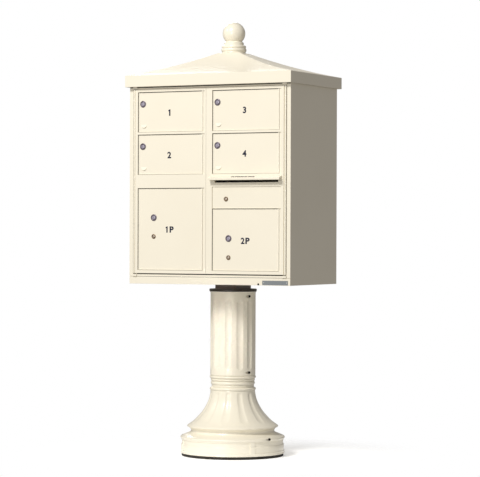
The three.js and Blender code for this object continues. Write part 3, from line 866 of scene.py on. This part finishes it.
def build_hood_shade_strip():
    """Black strip along the joint between the hood and the cabinet front: painted shade for the hood's
    shadow line.
    """
    hood_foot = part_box("hood")[0].z * 1000
    low, high = hood_foot - 3.6, hood_foot - 0.3
    section = softened([(-229.9, low), (-228.7, low), (-228.7, high), (-229.9, high)], 0.4, True)
    lengthwise = Matrix(((0, 0, 1, 0), (1, 0, 0, 0), (0, 1, 0, 0), (0, 0, 0, 1)))
    mesh = new_mesh("shade_strip", *moved(prism(section, -386, 386), lengthwise))
    piece("hood_shade_strip", mesh, "cabinet", "rubber_pad")


def black_strip(name, body, low, high):
    """A soft-edged strip of black rubber between two corners, in millimetres, put in as painted shade.
    """
    (left, front, bottom), (right, back, top) = low, high
    ring = softened([(left, bottom), (right, bottom), (right, top), (left, top)], 0.3, True)
    strip = moved(prism(ring, -back, -front), Matrix.Rotation(math.pi / 2, 4, "X"))
    piece(name, new_mesh("strip", *strip), body, "rubber_pad")


def build_shade_lines():
    """Black strips in the joints at the cabinet's foot and the top and left of each door leaf: painted
    shade.
    """
    back = LEAF_FRONT * 1000 + 0.05
    front = back - 1.1
    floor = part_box("floor_panel")[0].z * 1000
    sill = min(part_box("master_frame_" + side)[0].z for side in ("left", "right")) * 1000
    black_strip("sill_shade_line", "cabinet", (-350, -228.2, sill - 4.95), (350, -227, sill - 0.6))
    black_strip("band_shade_line", "cabinet", (-348, -228.2, floor - 1.52), (348, -226, floor - 0.1))
    for name in NUMBER_AT:
        low, high = (corner * 1000 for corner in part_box("door_" + name))
        body, top = "compartment_door_" + name, high.z + 0.9
        along = (low.x + 0.5, front, high.z - 1.2), (low.x + STRIP_LENGTH, back, top)
        black_strip(f"door_{name}_top_shade_line", body, *along)
        upright = (low.x - 0.9, front, low.z + 0.3), (low.x + 0.4, back, top)
        black_strip(f"door_{name}_edge_shade_line", body, *upright)


def build_rim_shade_ring():
    """Painted shade: a dark ring on the top rim of the column cover, in a half for each cover half."""
    profile = [(101.3, 711), (102.6, 711.6), (102.9, 713), (102.9, 721), (101.8, 722.4), (90, 722.4)]
    profile += [(90, 719.3), (101.3, 719.3)]
    azimuths = [2.5 * k - 90 for k in range(73)]
    for facing, word in ((-1, "front"), (1, "rear")):
        mesh = new_mesh("shade_ring", *half_shell(facing, azimuths, lambda azimuth: profile))
        smooth(mesh, TURNED_ANGLE)
        piece("rim_shade_ring_" + word, mesh, "cabinet", "rim_painted_shade")


def build_plate_screws():
    """A small screw at the foot of the base band by the data plate, and the plate's rivets."""
    low, high = (corner * 1000 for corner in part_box("data_plate"))
    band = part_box("base_band")[0].y * 1000
    facing_front = Matrix.Rotation(math.pi / 2, 4, "X")
    pan = [(0, -1), (4.2, -1), (4.2, 0.9), (3.2, 1.8), (1.4, 2.1), (1.2, 1.2), (0, 1.2)]
    screw = moved(lathe(pan, 32), Matrix.Translation((238, band - 0.2, 748.6)) @ facing_front)
    mesh = new_mesh("screw", *screw)
    smooth(mesh, TURNED_ANGLE)
    piece("band_screw", mesh, "cabinet", "dark_screw")
    dome = [(0, -0.6), (1.9, -0.6), (1.9, 0.15), (1.4, 0.55), (0, 0.7)]
    rivets = []
    for x in (low.x + 6, high.x - 6):
        place = Matrix.Translation((x, low.y, (low.z + high.z) / 2)) @ facing_front
        rivets.append(moved(lathe(dome, 20), place))
    mesh = new_mesh("rivets", *joined(*rivets))
    smooth(mesh, TURNED_ANGLE)
    piece("plate_rivets", mesh, "cabinet", "zinc_steel")


def build_mounting_bolts():
    """Bolts that hold the cabinet to the pedestal's top plate, with nuts bedded 0.3 mm in it."""
    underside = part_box("pedestal_top_plate")[0].z * 1000 + 0.3
    washer_foot = underside - 1.8
    sixths = [math.pi * k / 3 for k in range(6)]
    nut = prism([(8 * math.cos(a), 8 * math.sin(a)) for a in sixths], 757, underside)
    washer = lathe([(0, washer_foot), (11, washer_foot), (11, underside), (0, underside)], 32)
    stud = lathe([(0, 746), (3.8, 746), (4.6, 747), (4.6, 769), (0, 769)], 24)
    bolt = joined(nut, washer, stud)
    corners = [(side * 86, end * 58) for end in (-1, 1) for side in (-1, 1)]
    for i, (x, y) in enumerate(corners):
        mesh = new_mesh("bolt", *moved(bolt, Matrix.Translation((x, y, 0))))
        smooth(mesh, BOLT_ANGLE)
        piece(f"mounting_bolt_{i + 1}", mesh, "cabinet", "zinc_steel")


# ---------------------------------------------------------------- the whole unit
def main():
    """The whole unit: the pieces drawn here, and then the finished CAD nodes."""
    add_camera()
    add_studio()
    build_cover()
    build_cover_screws()
    build_finial()
    for name in ("1", "2", "3", "4"):
        build_key_lock(name, TENANT_CAM)
    for name in ("1P", "2P"):
        build_key_lock(name, PARCEL_CAM)
        cam = (PARCEL_CAM, SERVICE_CAM_PARKED, CAM["front"])
        build_service_lock("control_lock_" + name, "service_lock_" + name, SERVICE_FACE, cam)
    arrow_cam = (ARROW_CAM, 0, ARROW_CAM_FRONT)
    build_service_lock("arrow_lock_plug", "arrow_lock", ARROW_FACE, arrow_cam)
    build_numbers()
    build_slot_label()
    build_hood_shade_strip()
    build_shade_lines()
    build_rim_shade_ring()
    build_plate_screws()
    build_mounting_bolts()
    drawn = ("pedestal_cover", "cover_screw", "finial", "lock_", "control_lock", "arrow_lock_plug")
    finish_node("hood", HOOD_EDGE_WIDTH)
    for node in SLOT_OF:
        if node != "hood" and not node.startswith(drawn):
            finish_node(node)


main()
